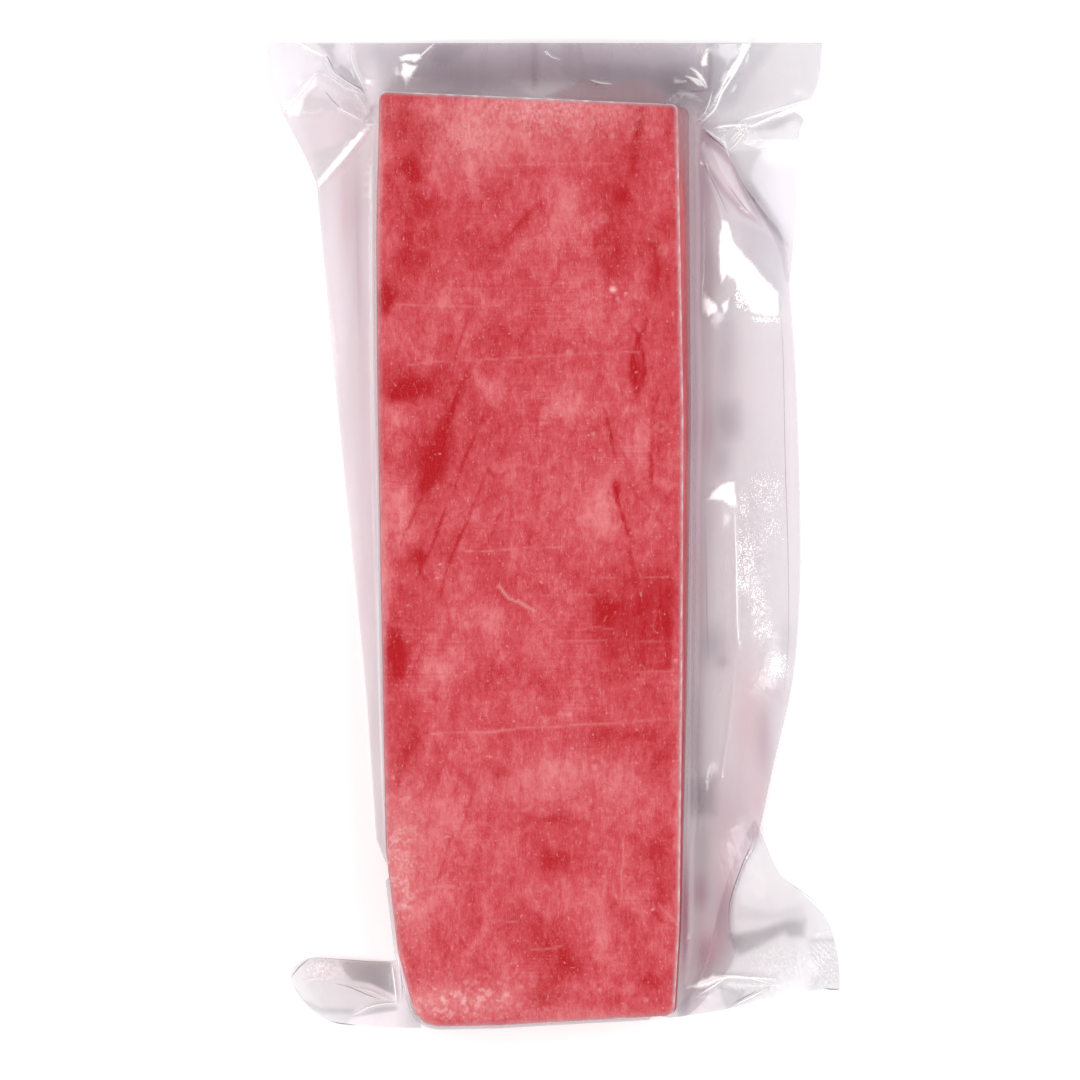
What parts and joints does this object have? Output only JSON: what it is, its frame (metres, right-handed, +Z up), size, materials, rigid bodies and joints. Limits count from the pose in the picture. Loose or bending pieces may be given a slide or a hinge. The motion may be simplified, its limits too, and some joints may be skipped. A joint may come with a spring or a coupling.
{
  "type": "vacuum-packed tuna saku block",
  "caption": "Long sawn block of frozen red tuna, a saku block, drawn tight in a clear vacuum bag with thin crinkled fins and folded corners, lying flat.",
  "frame": {"origin": "middle of the pack's outline, on the surface that the pack lies on", "axes": "+Z up, out of the shown face; +Y along the block towards the bag's mouth; +X to the right in the picture"},
  "size_m": [0.143, 0.2466, 0.0247],
  "materials": {
    "tuna": "frozen pink-red fish flesh with a fine lengthwise grain, darker blotches and pale frost, soft sheen",
    "clear_film": "thin clear plastic film, glossy, with pale creases"
  },
  "bodies": {
    "root": {"tuna_block": "tuna", "vacuum_bag": "clear_film"}
  },
  "joints": []
}
